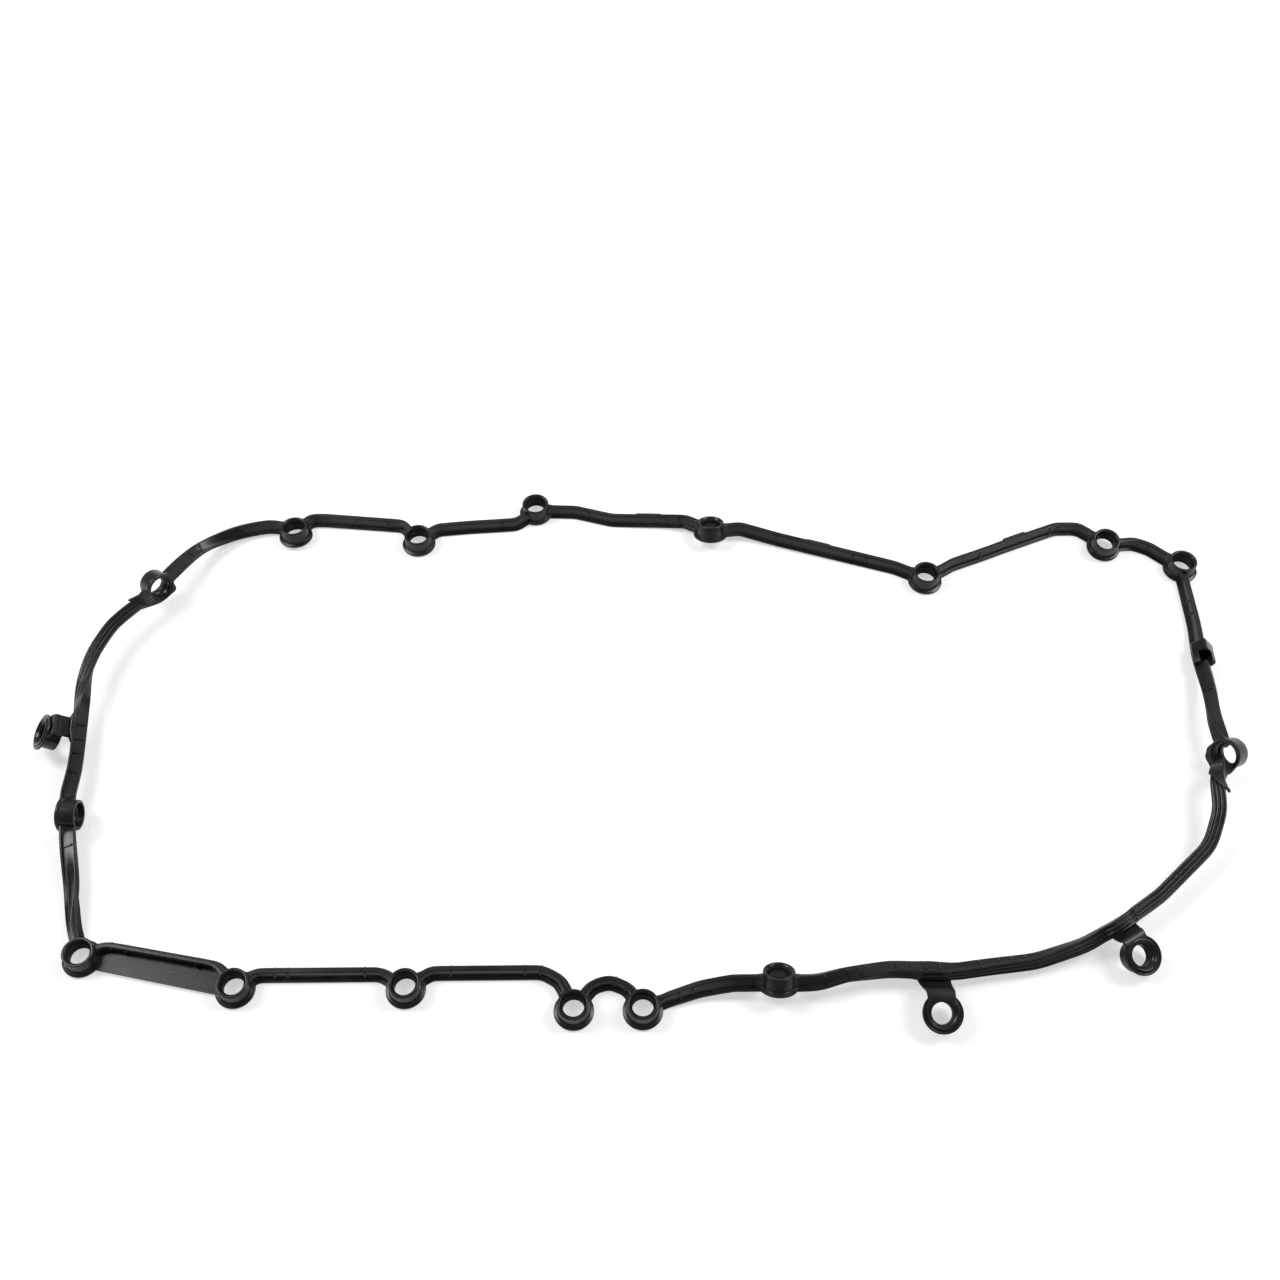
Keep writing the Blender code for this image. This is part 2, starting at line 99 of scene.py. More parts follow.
# Strip from bolt to bolt, once round from the near left corner. A bend is x, y, lift, roll and turn radius.
BAYS = {
    "near_left_corner": [(-243.5, -115.5, 3.4, 0, 9), (-192, -125, 3.4, 0, 8)],
    "near_left": [(-173, -128.5, 3.4, 0, 6), (-117, -128, 3.4, 0, 6)],
    "near_middle": [(-94.5, -127.5, 3.4, 0, 6), (-44, -127, 3.4, 0, 8), (-36, -131.5, 3.4, 0, 8)],
    "near_notch_left": [(-21.5, -134, 3.4, 0, 6), (-13.5, -131.5, 3.4, 0, 8), (-5.5, -135, 3.4, 0, 6)],
    "near_notch_right": [(12.5, -140, 3.7, 8, 12), (27, -135.5, 4.5, 20, 15), (41.5, -133.5, 6.0, 32, 15)],
    "near_right": [
        (79.5, -134.5, 8.0, 50, 15), (90, -131, 7.0, 65, 15), (112.5, -127.5, 7.0, 92, 20),
        (123, -128, 7.5, 100, 15), (131, -128, 8.1, 105, 15), (141.5, -129, 8.0, 108, 15),
        (154.5, -126.5, 7.0, 110, 20), (179, -123, 6.0, 118, 30), (202, -115.5, 7.0, 132, 30),
        (218.5, -106.5, 9.0, 148, 20), (239, -93.5, 9.0, 160, 20), (258, -77, 9.0, 170, 30),
        (268.5, -68.5, 9.0, 180, 30), (277.5, -50.5, 12.0, 195, 30), (279.5, -34.5, 14.0, 210, 15),
    ],
    "right_end": [
        (287.5, 5, 11.0, 285, 20), (290, 21.5, 9.0, 305, 20),
        (291.5, 46, 6.0, 335, 20), (294.5, 67, 4.0, 352, 20),
    ],
    "far_right_corner": [(281, 120.5, 3.4, 0, 12), (272.5, 124.5, 3.4, 0, 10)],
    "far_right": [
        (250, 129.5, 3.6, 4, 8), (244, 135, 3.5, 2, 8), (231, 135, 3.5, 2, 12), (200, 122, 3.4, 0, 40),
        (189, 117, 3.4, 0, 20), (170.3, 109.3, 3.4, 0, 6),
    ],
    "far_notch": [(139.5, 107.3, 3.4, 0, 6), (75.5, 127.2, 3.8, -10, 20), (55.5, 133.5, 5.0, -18, 6)],
    "far_middle": [
        (25.5, 138.8, 5.0, -15, 6), (13, 140.5, 3.6, -6, 15), (-15.5, 141.3, 3.4, 0, 15),
        (-36, 147.3, 3.4, 0, 10), (-44.7, 147.6, 3.4, 0, 8),
    ],
    "far_outer": [(-69, 138.2, 3.4, 0, 6), (-95, 136.2, 3.4, 0, 20), (-113, 134.2, 3.4, 0, 6)],
    "far_left": [(-131.5, 137, 3.4, 0, 6), (-176, 141, 3.6, -4, 20), (-184.4, 140.8, 3.7, -5, 6)],
    "far_left_rail": [
        (-202, 137.8, 3.8, -8, 6), (-225, 131, 4.5, -22, 20), (-242, 116, 8.0, -55, 20),
        (-252, 97, 12.0, -88, 20),
    ],
    "far_left_end": [
        (-266, 73.5, 14.0, -126, 12), (-276, 59.5, 14.0, -138, 20), (-281.5, 41, 13.0, -162, 30),
        (-282, 26, 12.0, -188, 30), (-281, 10, 10.0, -240, 20), (-279.6, -1, 9.4, -250, 20),
        (-276.5, -26.5, 9.3, -260, 20), (-277, -38, 9.3, -265, 10),
    ],
    "left_end": [(-271.8, -63, 8.0, 82, 15), (-264.3, -87, 5.4, 46, 30), (-260.7, -107, 3.9, 8, 20)],
}

# Collars on bent arms: the bay and bend at the arm's root, the arm's bends and its collar as (outwards, up)
# from the root, the collar's offset along the strip and its own roll, and the arm's widths at root and collar
ARM_COLLARS = {
    "near_arm": ("near_right", 4, [(5, -1.5), (9, 1), (14, 5)], (22, 3), 3.0, 158, (16, 11.5)),
    "right_arm": ("near_right", 9, [(4.5, 0.5), (7.5, 2.5), (10.5, 4.6)], (18.5, 2.2), -1.6, 155, (15, 11)),
    "left_arm": ("far_left_end", 5, [(3, 1.5), (7, 5.5), (10.6, 8.4)], (18, 4.7), 2.8, 131, (11.5, 11.5)),
}

# Corner plates near the sealing plane of a bolt: outline as (along, across) from the bolt
PLATES = {
    "far_left_end": [(-8, -8), (-7.5, 2), (8, 2.5), (16, 4), (18, 2), (17, -3), (8, -7), (3, -8.8)],
    "right_end": [(8, 3), (9, -5), (6.5, -9.6), (0, -11.4), (-5, -11), (-8, -6), (-8, 0)],
}

# Covers over the sealing ribs beside an end collar: the bay, whether the collar is at its end, and the cover's
# two edges across the strip at distances from the collar
RIGHT_COVER = [(0.4, -4.4, 2.2), (3.2, -4.4, 3.0), (8.5, -4.4, 3.4), (12, -0.9, 3.8)]
RIGHT_COVER += [(16, 3.0, 4.8), (17.6, 3.9, 5.7), (18.7, 4.4, 5.2)]
FAR_LEFT_COVER = [(1.2, -4.0, 4.2), (4, -3.9, 4.3), (7.5, 0, 4.4), (10.4, 3.1, 4.9), (11.6, 4.1, 4.7)]
COVERS = (("near_right", True, RIGHT_COVER), ("far_left_end", False, FAR_LEFT_COVER))

# Small ribs on both walls of the blade, as x and y beside the strip of each bay
BLADE_RIBS = {
    "near_left_corner": [(-240.7, -116), (-233.1, -117.6), (-200.3, -124.7)],
    "near_left": [(-164.3, -128.8), (-158.6, -128.8), (-124.1, -128.9)],
    "near_middle": [(-85, -127.6), (-52.2, -127.9), (-44.7, -128)],
    "near_notch_left": [(-11.3, -133.1), (-5.9, -135.8)],
    "near_notch_right": [(17.6, -138.4), (23.4, -136.6), (43.6, -133.6), (49.9, -133.8)],
    "near_right": [
        (82.4, -133.5), (93.4, -130.5), (99, -129.6), (115.1, -127.6), (121.9, -127.9), (128.2, -128),
        (134.1, -128.3), (153.2, -126.8), (161.9, -125.4), (168, -124.6), (174.1, -123.7),
    ],
    "right_end": [(290, 21.5), (294.7, 73.7), (294.9, 82.1)],
    "far_right_corner": [(280.4, 120.7)],
    "far_right": [(231.8, 134.1), (227.3, 133.5), (186.2, 115.8)],
    "far_notch": [(123.5, 112.3), (117.1, 114.3), (75.5, 127.2)],
    "far_middle": [(21.9, 139.3), (15.2, 140.2), (-28.8, 145.2)],
    "far_outer": [(-76.9, 137.8), (-95, 136.2), (-100.4, 135.5)],
    "far_left": [(-140.6, 137.4), (-158.3, 139.2), (-173.8, 140.8), (-180.4, 140.5)],
    "far_left_rail": [(-220.5, 130.7), (-240.6, 115.9), (-244.9, 110.5)],
    "far_left_end": [(-279.7, 0.1), (-278.7, -8.7), (-277.7, -16.3), (-276.5, -27.6)],
    "left_end": [(-270.7, -66.6)],
}

# Crush pads on the far side of the strip, as x and y beside it, and the clip: its bay, a station, the share of
# the way to the next, and its lean over the strip
PADS = {"far_middle": (4.5, 140.8), "far_notch": (97.5, 120.5), "far_right": (207.5, 125.2)}
CLIP_PLACE = ("right_end", 2, 1.0)
CLIP_TURN = radians(18)
CLIP_OUTLINE = [(-4.6, -2.8), (4.6, -2.8), (4.4, 5.8), (-4.4, 5.8)]
CLIP_MIDDLE = 1.5
# The clip's sections: along the strip, scale about its middle, and lean of the section from foot to top
CLIP_SLICES = ((-7.2, 0.95, 1.6), (-6.8, 1, 1.6), (5.6, 1, 0), (6.4, 0.96, 0), (6.9, 0.86, 0))
POCKET_OUTLINE = [(-3.3, -0.3), (3.3, -0.3), (3.1, 4.7), (-3.1, 4.7)]
POCKET_ENDS = (-9.5, 2.5)
# The slot opens the pocket upwards, where the leaning clip faces the photo's camera
SLOT_TURN = radians(-45)
SLOT_OUTLINE = [(-4.3, 1.2), (2.2, 1.2), (2.2, 9.5), (-4.3, 9.5)]
SLOT_ENDS = (-9.6, -0.4)
# Where the strip is lowered in the pocket, along it from the clip, and the strip's top there
POCKET_RUN = (-5.9, 3.2)
POCKET_FLOOR = -0.6

# The strip's carried point over its sealing face, its gap to a bolt, and its widening beside the bolt
CARRY = 3.4
STRIP_END_GAP = 6.5
END_FLARE = 1.3
FLARE_REACH = 4.0
# How far the sealing face swells over the root of an arm, how far along the strip, below which height, and
# how fast it falls off across the strip
ROOT_SWELL = 2.4
SWELL_REACH = 7.5
SWELL_TOP = -2.0
SWELL_BEND = 0.3

# The route: angle step of an arc and its share of the room, step along the strip, and the smoothing of places
# and of rolls. The bays that hang free in long curves are smoothed more.
ARC_STEP = radians(5)
ARC_SHARE = 0.9
SAMPLE = 0.5
PLACE_SPREAD = 1.6
ROLL_SPREAD = 5
SOFT_BAYS = {"near_right": 2.8, "right_end": 3.5, "far_left_rail": 6.0, "far_left_end": 4.0, "left_end": 5.0}
# A section is kept after this turn, twist or distance, which is short near a bay's ends and its fine places
TURN_STEP = radians(3.5)
TWIST_STEP = radians(5)
LONG_STEP = 8.0
SHORT_STEP = 0.9
END_REACH = 4.5
FINE_REACH = 10

# The covers: sections along them, their face, and how deep and how far they are tucked in at the collar
COVER_STEPS = 28
COVER_FACE = -0.28
COVER_TUCK = 0.7
TUCK_REACH = 3

# Collars: facets, the thickness of an end collar's rim, and where an arm ends in its collar's frame
COLLAR_SIDES = 64
END_RIM = 1.45
ARM_LANDING = Vector((0, 3.65, 1.7))

# Sheets: eased edge, plate behind the sealing plane, widening of an arm at its root, web, and bores
SHEET_EDGE = 0.35
PLATE_SETBACK = 0.8
ARM_FLARE = 1.4
WEB_BAY = "near_left_corner"
WEB_UNDERSIDE = 0.9
WEB_REACH = 7.75
BORE_SIDES = 48
BORE_CLEARANCE = 1.15
PLATE_BORE = (-3, 6)
ARM_BORE = (-5, 8.2)
# A cut's loose shell below this span is a chip
CHIP_SPAN = 4.0

# Half of a blade rib's section as (along, share of its height), its depth in the blade, and a pad's face
RIB_SIDE = ((-0.7, 0), (-0.55, 0.7), (-0.25, 1), (0.25, 1), (0.55, 0.7), (0.7, 0))
RIB_ROOT = 0.3
PAD_OUTLINE = [(-7, 3.2), (7, 3.2), (7, 5.9), (-7, 5.9)]
PAD_MIDDLE = Vector((0, 4.55))

# Patches of bloom, specks and grain of the rubber: scale per metre, detail and roughness
RUBBER_NOISE = ((55.0, 4.0, 0.6), (900.0, 3.0, 0.7), (2600.0, 2.0, 0.5))

# The studio, in metres, and its camera's sensor in millimetres. A lamp is its place, width, depth and share
# of the power.
LAMPS = {
    "left_lamp": ((-1.05, 0.3, 1.15), 0.5, 0.8, 1.0),
    "right_lamp": ((1.05, 0.3, 1.15), 0.5, 0.8, 1.0),
    "back_lamp": ((0, 1.5, 1.6), 2.6, 0.8, 0.35),
}
FLOOR_REACH = 4
FLOOR_FADE = (0.45, 1.0)
WHITE = (1, 1, 1, 1)
SENSOR = 36
NEAREST = 0.01


class GasketSizes(bpy.types.PropertyGroup):
    """Sizes of the moulding."""

    strip_height: FloatProperty(
        name="Strip height", description="From the sealing face to the crown", default=0.0068, unit="LENGTH"
    )
    base_width: FloatProperty(
        name="Base width", description="Across the ribbed sealing face", default=0.0068, unit="LENGTH"
    )
    base_thickness: FloatProperty(
        name="Base thickness", description="Of the two lips beside the blade", default=0.0013, unit="LENGTH"
    )
    blade_width: FloatProperty(
        name="Blade width", description="Of the blade at its root", default=0.0032, unit="LENGTH"
    )
    crown_width: FloatProperty(
        name="Crown width", description="Of the blade under its crown", default=0.0028, unit="LENGTH"
    )
    crown_radius: FloatProperty(
        name="Crown radius", description="Of the two edges of the crown", default=0.0006, unit="LENGTH"
    )
    groove_pitch: FloatProperty(
        name="Groove pitch", description="Between grooves of the sealing face", default=0.0019, unit="LENGTH"
    )
    groove_depth: FloatProperty(
        name="Groove depth", description="Of the grooves of the sealing face", default=0.0007, unit="LENGTH"
    )
    flange_diameter: FloatProperty(
        name="Flange diameter", description="Of a collar's foot", default=0.0182, unit="LENGTH"
    )
    end_flange_diameter: FloatProperty(
        name="Narrow flange", description="Foot of the two collars at the ends", default=0.0162, unit="LENGTH"
    )
    tube_diameter: FloatProperty(
        name="Tube diameter", description="Of a collar's wall", default=0.0146, unit="LENGTH"
    )
    bore_diameter: FloatProperty(
        name="Bore diameter", description="Of a collar's bore", default=0.0096, unit="LENGTH"
    )
    mouth_diameter: FloatProperty(
        name="Mouth diameter", description="Of the wide end of a bore", default=0.012, unit="LENGTH"
    )
    collar_height: FloatProperty(
        name="Collar height", description="From the sealing plane to the rim", default=0.009, unit="LENGTH"
    )
    sheet_thickness: FloatProperty(
        name="Sheet thickness", description="Of the web, arms and plates", default=0.0016, unit="LENGTH"
    )
    rib_proud: FloatProperty(
        name="Blade rib height", description="Of the small ribs off the blade", default=0.00055, unit="LENGTH"
    )


class RubberLook(bpy.types.PropertyGroup):
    """Colours and finish of the rubber."""

    rubber: FloatVectorProperty(
        name="Clean", description="Clean rubber", default=(0.0065, 0.0062, 0.0068, 1), subtype="COLOR", size=4
    )
    bloom: FloatVectorProperty(
        name="Bloomed", description="Bloomed rubber", default=(0.022, 0.0215, 0.022, 1), size=4, subtype="COLOR"
    )
    roughness: FloatProperty(
        name="Roughness", description="Of clean rubber", default=0.28, min=0, max=1, subtype="FACTOR"
    )
    shine: FloatProperty(name="Shine", description="Strength of the reflections", default=0.26, min=0, max=1)
    grain: FloatProperty(
        name="Grain", description="Height of the mould's fine grain", default=0.00003, unit="LENGTH"
    )


class StudioSet(bpy.types.PropertyGroup):
    """Floor, light and camera."""

    floor: FloatVectorProperty(
        name="Floor", description="Pale floor", default=(0.9, 0.9, 0.9, 1), size=4, subtype="COLOR"
    )
    floor_glow: FloatProperty(
        name="Floor glow", description="Share of pure white in the floor that the camera sees", default=0.55
    )
    lamp_power: FloatProperty(
        name="Lamp power", description="Of each of the two soft side lamps", default=20.0, unit="POWER"
    )
    sky: FloatProperty(name="Room light", description="Strength of the light from all round", default=0.28)
    lens: FloatProperty(name="Lens", description="Focal length of the camera in millimetres", default=40.95)
    camera_height: FloatProperty(
        name="Camera height", description="Above the floor", default=0.6236, unit="LENGTH"
    )
    camera_distance: FloatProperty(
        name="Camera distance", description="In front of the layout's origin", default=0.393, unit="LENGTH"
    )
    camera_tilt: FloatProperty(
        name="Camera tilt", description="Up from looking straight down", default=radians(36), unit="ROTATION"
    )


def mm(value):
    """A length property in millimetres."""
    return value / MILLIMETRE


class Shape:
    """Gathers closed shells, in layout millimetres, into one mesh."""

    def __init__(self):
        self.points = []
        self.faces = []

    def add(self, points, faces):
        """One shell."""
        start = len(self.points)
        self.points += [Vector(point) for point in points]
        self.faces += [[start + index for index in face] for face in faces]

    def loft(self, rings):
        """A shell through closed rings, with a cap at each end."""
        count = len(rings[0])
        faces = []
        for r in range(len(rings) - 1):
            low, high = r * count, (r + 1) * count
            for i in range(count):
                j = (i + 1) % count
                faces.append((low + i, low + j, high + j, high + i))
        last = (len(rings) - 1) * count
        faces.append(list(reversed(range(count))))
        faces.append([last + i for i in range(count)])
        self.add([point for ring in rings for point in ring], faces)

    def turn(self, outline, seat, sides):
        """A ring-shaped shell: a closed (radius, height) outline turned about a frame's Z."""
        rings = []
        for k in range(sides):
            angle = 2 * pi * k / sides
            rings.append([seat @ Vector((r * cos(angle), r * sin(angle), z)) for r, z in outline])
        count = len(outline)
        faces = []
        for k in range(sides):
            low, high = k * count, (k + 1) % sides * count
            for i in range(count):
                j = (i + 1) % count
                faces.append((low + i, high + i, high + j, low + j))
        self.add([point for ring in rings for point in ring], faces)

    def mesh(self, name, inside=True):
        """The mesh in metres about the part's origin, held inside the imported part's box."""
        points = [(point - LAYOUT_MIDDLE) * MILLIMETRE for point in self.points]
        if inside:
            low = [value + BOX_MARGIN for value in PART_LOW]
            high = [value - BOX_MARGIN for value in PART_HIGH]
            points = [[min(max(v, a), b) for v, a, b in zip(point, low, high)] for point in points]
        data = bpy.data.meshes.new(name)
        data.from_pydata([tuple(point) for point in points], [], self.faces)
        data.validate()
        return data


def outward(data):
    """Turns every closed shell of a mesh so that its faces look out."""
    work = bmesh.new()
    work.from_mesh(data)
    bmesh.ops.recalc_face_normals(work, faces=work.faces)
    work.to_mesh(data)
    work.free()


def new_object(name, data):
    """An object in the scene that holds the data."""
    made = bpy.data.objects.new(name, data)
    bpy.context.scene.collection.objects.link(made)
    return made


def shed_chips(data):
    """Clears a mesh of the loose chips that a cut leaves."""
    work = bmesh.new()
    work.from_mesh(data)
    left = set(work.verts)
    while left:
        shell = set()
        fresh = {left.pop()}
        while fresh:
            shell |= fresh
            fresh = {edge.other_vert(vert) for vert in fresh for edge in vert.link_edges} - shell
        left -= shell
        span = max(max(v.co[k] for v in shell) - min(v.co[k] for v in shell) for k in range(3))
        if span < CHIP_SPAN * MILLIMETRE:
            bmesh.ops.delete(work, geom=list(shell), context="VERTS")
    work.to_mesh(data)
    work.free()


def cut_out(piece, cutter, solver):
    """Takes the cutter's shells out of a piece, and returns the piece's new mesh."""
    name = piece.name
    tool_data = cutter.mesh(name + "_cutter", inside=False)
    outward(tool_data)
    tool = new_object(name + "_cutter", tool_data)
    step = piece.modifiers.new("cut", "BOOLEAN")
    step.operation = "DIFFERENCE"
    step.solver = solver
    step.use_self = solver == "EXACT"
    step.object = tool
    graph = bpy.context.evaluated_depsgraph_get()
    whole, cut = piece.data, bpy.data.meshes.new_from_object(piece.evaluated_get(graph))
    piece.modifiers.clear()
    piece.data = cut
    bpy.data.objects.remove(tool)
    bpy.data.meshes.remove(tool_data)
    bpy.data.meshes.remove(whole)
    cut.name = name
    shed_chips(cut)
    return cut


def moulded(name, shape, smooth, cutter=None, solver="EXACT"):
    """A rubber piece of the gasket, without the cutter's shells and smooth below an angle in degrees."""
    data = shape.mesh(name)
    outward(data)
    piece = new_object(name, data)
    if cutter:
        data = cut_out(piece, cutter, solver)
    data.polygons.foreach_set("use_smooth", [True] * len(data.polygons))
    data.set_sharp_from_angle(angle=radians(smooth))
    data.materials.clear()
    data.materials.append(rubber_material())
    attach(piece, "root")
    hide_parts(NODE)


def local_frame(position, tangent, roll):
    """Local X along the strip, Y across it towards the inside of the loop and Z up from the sealing face."""
    along = tangent.normalized()
    inward = Vector((-along.y, along.x, 0)).normalized()
    rise = along.cross(inward)
    across = inward * cos(roll) - rise * sin(roll)
    up = rise * cos(roll) + inward * sin(roll)
    return Matrix.Translation(position) @ Matrix((along, across, up)).transposed().to_4x4()


def bend_arc(before, corner, after, radius):
    """The arc that rounds a corner of the route, and starts and ends short of two limits beside it."""
    into = (corner - before).normalized()
    out = (after - corner).normalized()
    angle = into.angle(out)
    if angle < radians(1):
        return [corner]
    room = min((corner - before).length, (after - corner).length)
    reach = min(radius * tan(angle / 2), room * ARC_SHARE)
    arc_radius = reach / tan(angle / 2)
    sideways = (out - into * cos(angle)).normalized()
    steps = max(2, ceil(angle / ARC_STEP))
    start = corner - into * reach
    turns = [angle * i / steps for i in range(steps + 1)]
    return [start + into * arc_radius * sin(turn) + sideways * arc_radius * (1 - cos(turn)) for turn in turns]


def softened(values, sigma):
    """Values along a line, smoothed with their ends held."""
    reach = min(int(sigma * 3), len(values) - 2)
    head = 2 * values[0] - values[reach:0:-1]
    tail = 2 * values[-1] - values[-2 : -reach - 2 : -1]
    padded = np.concatenate([head, values, tail])
    offsets = np.arange(-reach, reach + 1)
    weights = np.exp(-0.5 * (offsets / sigma) ** 2)
    weights /= weights.sum()
    if values.ndim == 1:
        return np.convolve(padded, weights, "valid")
    return np.stack([np.convolve(padded[:, k], weights, "valid") for k in range(values.shape[1])], axis=1)


def bay_path(first, last):
    """A bay's evenly spaced points and rolls, and the distance along it of each of its stations."""
    rows = [BOLTS[first]] + BAYS[first] + [BOLTS[last]]
    stations = [Vector(row[:3]) for row in rows]
    stations[0] += (stations[1] - stations[0]).normalized() * STRIP_END_GAP
    stations[-1] += (stations[-2] - stations[-1]).normalized() * STRIP_END_GAP
    rolls = [row[3] for row in rows]
    for i in range(1, len(rolls)):
        rolls[i] += 360 * round((rolls[i - 1] - rolls[i]) / 360)
    bends = stations[1:-1]
    limits = stations[:1] + [a.lerp(b, 0.5) for a, b in zip(bends, bends[1:])] + stations[-1:]
    arcs = [stations[:1]]
    for before, corner, after, row in zip(limits, bends, limits[1:], BAYS[first]):
        arcs.append(bend_arc(before, corner, after, row[4]))
    arcs.append(stations[-1:])
    line = []
    places = []
    for arc in arcs:
        places.append(len(line) + len(arc) // 2)
        line += arc
    corners = np.array([tuple(point) for point in line])
    run = np.concatenate([[0], np.cumsum(np.linalg.norm(np.diff(corners, axis=0), axis=1))])
    station_runs = run[places]
    count = max(8, int(run[-1] / SAMPLE))
    even = np.linspace(0, run[-1], count + 1)
    points = np.stack([np.interp(even, run, corners[:, k]) for k in range(3)], axis=1)
    points = softened(points, SOFT_BAYS.get(first, PLACE_SPREAD) / SAMPLE)
    twist = softened(np.interp(even, station_runs, rolls), ROLL_SPREAD / SAMPLE)
    return points, np.radians(twist), even, station_runs


def path_frames(points, rolls):
    """A frame at every point of a path."""
    tangents = np.gradient(points, axis=0)
    return [local_frame(Vector(p), Vector(t), r) for p, t, r in zip(points, tangents, rolls)]


def kept_places(frames, runs, fine=()):
    """The places along a path that carry its bends and its twist, close together beside the fine ones."""
    kept = [0]
    for i in range(1, len(frames) - 1):
        last = frames[kept[-1]]
        turn = last.col[0].xyz.angle(frames[i].col[0].xyz, 0)
        twist = last.col[2].xyz.angle(frames[i].col[2].xyz, 0)
        to_end = min(runs[i], runs[-1] - runs[i])
        close = to_end < END_REACH or any(abs(runs[i] - run) < FINE_REACH for run in fine)
        gone = runs[i] - runs[kept[-1]]
        if turn > TURN_STEP or twist > TWIST_STEP or gone > (SHORT_STEP if close else LONG_STEP):
            kept.append(i)
    return kept + [len(frames) - 1]


class Route:
    """The whole strip, bay by bay."""

    def __init__(self):
        names = list(BAYS)
        self.bays = {}
        for first, last in zip(names, names[1:] + names[:1]):
            points, rolls, runs, station_runs = bay_path(first, last)
            self.bays[first] = (path_frames(points, rolls), runs, station_runs)

    def at(self, bay, run):
        """The frame at a distance along a bay."""
        frames, runs, _ = self.bays[bay]
        return frames[int(np.argmin(np.abs(runs - run)))]

    def beside(self, bay, x, y):
        """The frame nearest to a point of the layout."""
        frames = self.bays[bay][0]
        return min(frames, key=lambda f: (f.translation.x - x) ** 2 + (f.translation.y - y) ** 2)


def clip_run(route):
    """The clip's distance along its bay."""
    bay, station, share = CLIP_PLACE
    before, after = route.bays[bay][2][station : station + 2]
    return before + (after - before) * share


def quarter(across, up, radius, steps, share, hollow=False):
    """A quarter round of the section about its centre, from the side up, or hollow from below up."""
    out = []
    for i in range(steps + 1):
        angle = pi / 2 * i / steps
        if hollow:
            out.append((across - radius * sin(angle), up - radius * cos(angle), share))
        else:
            out.append((across + radius * cos(angle), up + radius * sin(angle), share))
    return out


def strip_outline(sizes):
    """The section as (across, up, share of the flare), once round, with up from the carried point."""
    half_base = mm(sizes.base_width) / 2
    base = mm(sizes.base_thickness)
    half_root = mm(sizes.blade_width) / 2
    half_top = mm(sizes.crown_width) / 2
    radius = mm(sizes.crown_radius)
    height = mm(sizes.strip_height)
    pitch = mm(sizes.groove_pitch)
    depth = mm(sizes.groove_depth)
    edge, fillet = 0.22, 0.55
    wavy_half = half_base - 0.06
    side = []
    steps = 18
    for i in range(steps + 1):
        across = wavy_half * i / steps
        wave = (0.5 + 0.5 * cos(2 * pi * across / pitch)) ** 1.25
        outer_lift = 0.1 if across > pitch * 1.05 else 0.0
        side.append((across, depth * wave + outer_lift * (1 - wave), 0))
    side.append((half_base, side[-1][1] + 0.12, 0))
    side += quarter(half_base - edge, base - edge, edge, 3, 0)
    side += quarter(half_root + fillet, base + 0.03 + fillet, fillet, 4, 1, hollow=True)
    side.append(((half_root + half_top) / 2, height * 0.55, 1))
    side += quarter(half_top - radius, height - radius, radius, 4, 0.8)
    mirrored = [(-across, up, flare) for across, up, flare in reversed(side[1:])]
    return [(across, up - CARRY, flare) for across, up, flare in side + mirrored]


def profile(*parts):
    """A (radius, height) profile from parts, each a radius, a height and the offsets from the two."""
    return [(radius + out, height + up) for radius, height, offsets in parts for out, up in offsets]


def end_collar_outline(sizes):
    """A collar with thin rims at both ends, stepped in to its bore halfway up."""
    bore = mm(sizes.bore_diameter) / 2
    tube = mm(sizes.tube_diameter) / 2
    flange = mm(sizes.end_flange_diameter) / 2
    top = mm(sizes.collar_height)
    wide = tube - END_RIM
    return profile(
        (bore, 0, ((0, 4.9), (0.3, 4.5))),
        (wide, 0, ((0, 4.1), (0, 0.75), (0.15, 0.45), (0.45, 0.4), (0.6, 0.7))),
        (wide, 0, ((1.0, 0.7), (1.2, 0.15), (1.45, 0.08))),
        (flange, 0, ((-0.25, 0.12), (-0.06, 0.3), (0, 0.6), (0, 1.4), (-0.1, 1.7))),
        (tube, 0, ((0.35, 1.95), (0.08, 2.2), (0, 2.6))),
        (tube, top, ((0, -0.4), (-0.1, -0.14), (-0.32, 0))),
        (wide, top, ((0.2, 0), (0, -0.2))),
        (wide, 0, ((0, 6.2),)),
        (bore, 0, ((0.3, 5.8), (0, 5.5))),
    )


def collar_outline(sizes):
    """The closed profile of a collar, from its bore round the bead, flange and rim to its wide mouth."""
    bore = mm(sizes.bore_diameter) / 2
    mouth = mm(sizes.mouth_diameter) / 2
    tube = mm(sizes.tube_diameter) / 2
    flange = mm(sizes.flange_diameter) / 2
    top = mm(sizes.collar_height)
    foot = ((0, 2.4), (0.12, 1.9), (0.5, 1.3), (0.95, 0.95), (1.25, 0.8), (1.45, 0.55))
    bead = ((1.65, 0.2), (1.9, 0.08), (2.25, 0.08), (2.5, 0.2), (2.68, 0.6), (2.85, 0.85))
    ledge = ((3.15, 0.95), (3.4, 0.8), (3.6, 0.72)) if flange > bore + 3.6 else ()
    return profile(
        (bore, top, ((0, -2.6),)),
        (bore, 0, foot + bead + ledge),
        (flange, 0, ((-0.25, 0.72), (-0.06, 0.8), (0, 1.0), (0, 1.5), (-0.07, 1.7), (-0.28, 1.84))),
        (tube, 0, ((0.5, 2.02), (0.2, 2.14), (0.05, 2.36), (0, 2.75))),
        (tube, top, ((0, -0.45), (-0.08, -0.2), (-0.26, -0.04), (-0.5, 0))),
        (mouth, top, ((0.35, 0), (0.12, -0.06), (-0.08, -0.22), (-0.45, -0.75))),
        (bore, top, ((0.35, -1.35), (0.08, -1.9))),
    )


